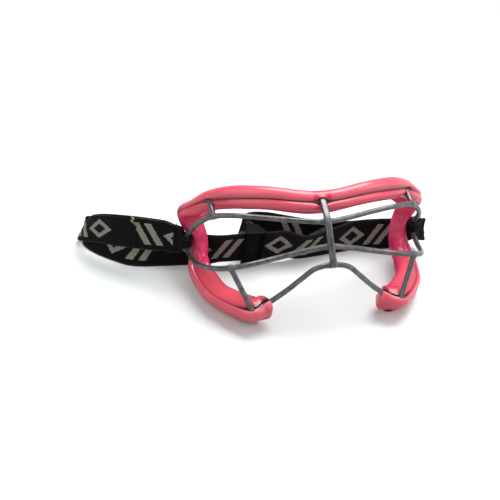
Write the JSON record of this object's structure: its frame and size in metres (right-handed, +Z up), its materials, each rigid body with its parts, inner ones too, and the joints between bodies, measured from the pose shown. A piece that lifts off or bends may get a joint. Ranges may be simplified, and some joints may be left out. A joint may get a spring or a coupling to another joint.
{
  "type": "lacrosse eye guard",
  "caption": "Welded steel wire eye guard with a soft moulded face pad in two lobes and an elastic head strap with a slide adjuster, lying on its cheek pads.",
  "frame": {"origin": "on the table, under the middle of the bounding box, as the guard lies on its cheek pads", "axes": "+X along the guard's width towards its right temple as seen from the front, +Y from the front to the strap side, +Z up from the table"},
  "size_m": [0.2321, 0.1146, 0.0751],
  "materials": {
    "wire_coating": "satin cool grey coating on steel wire",
    "pad": "soft satin pink silicone",
    "webbing": "black ribbed elastic with a woven light pattern",
    "slide": "glossy black"
  },
  "bodies": {
    "guard": {"rim_wire": "wire_coating", "nose_wire": "wire_coating", "upper_eye_wire": "wire_coating", "lower_eye_wire": "wire_coating", "left_temple_bar": "wire_coating", "right_temple_bar": "wire_coating", "centre_bar": "wire_coating", "left_brow_strut": "wire_coating", "right_brow_strut": "wire_coating", "left_cheek_strut": "wire_coating", "right_cheek_strut": "wire_coating", "left_weld_beads": "wire_coating", "right_weld_beads": "wire_coating", "face_pad": "pad", "strap_webbing": "webbing", "strap_return": "webbing"},
    "left_loop": {"left_strap_loop": "webbing"},
    "right_loop": {"right_strap_loop": "webbing"},
    "adjuster": {"adjuster_slide": "slide"},
    "adjuster_end": {"adjuster_loop": "webbing"}
  },
  "joints": [
    {"name": "left_loop_swing", "type": "hinge", "parent": "guard", "child": "left_loop", "pos_m": [-0.0527, 0.0076, 0.027], "axis": [0, 0, 1], "range_deg": [-18, 35], "deforming": ["strap_webbing"]},
    {"name": "right_loop_swing", "type": "hinge", "parent": "guard", "child": "right_loop", "pos_m": [0.1017, 0.0076, 0.027], "axis": [0, 0, 1], "range_deg": [-35, 18], "deforming": ["strap_webbing", "strap_return"]},
    {"name": "adjuster_travel", "type": "slide", "parent": "guard", "child": "adjuster", "axis": [1, 0, 0], "range_m": [-0.014, 0.014], "deforming": ["strap_webbing", "strap_return"]},
    {"name": "adjuster_end_swing", "type": "hinge", "parent": "adjuster", "child": "adjuster_end", "pos_m": [-0.0065, 0.01689, 0.01586], "axis": [0, -0.1736, 0.9848], "range_deg": [-20, 20], "deforming": ["strap_return"]}
  ]
}
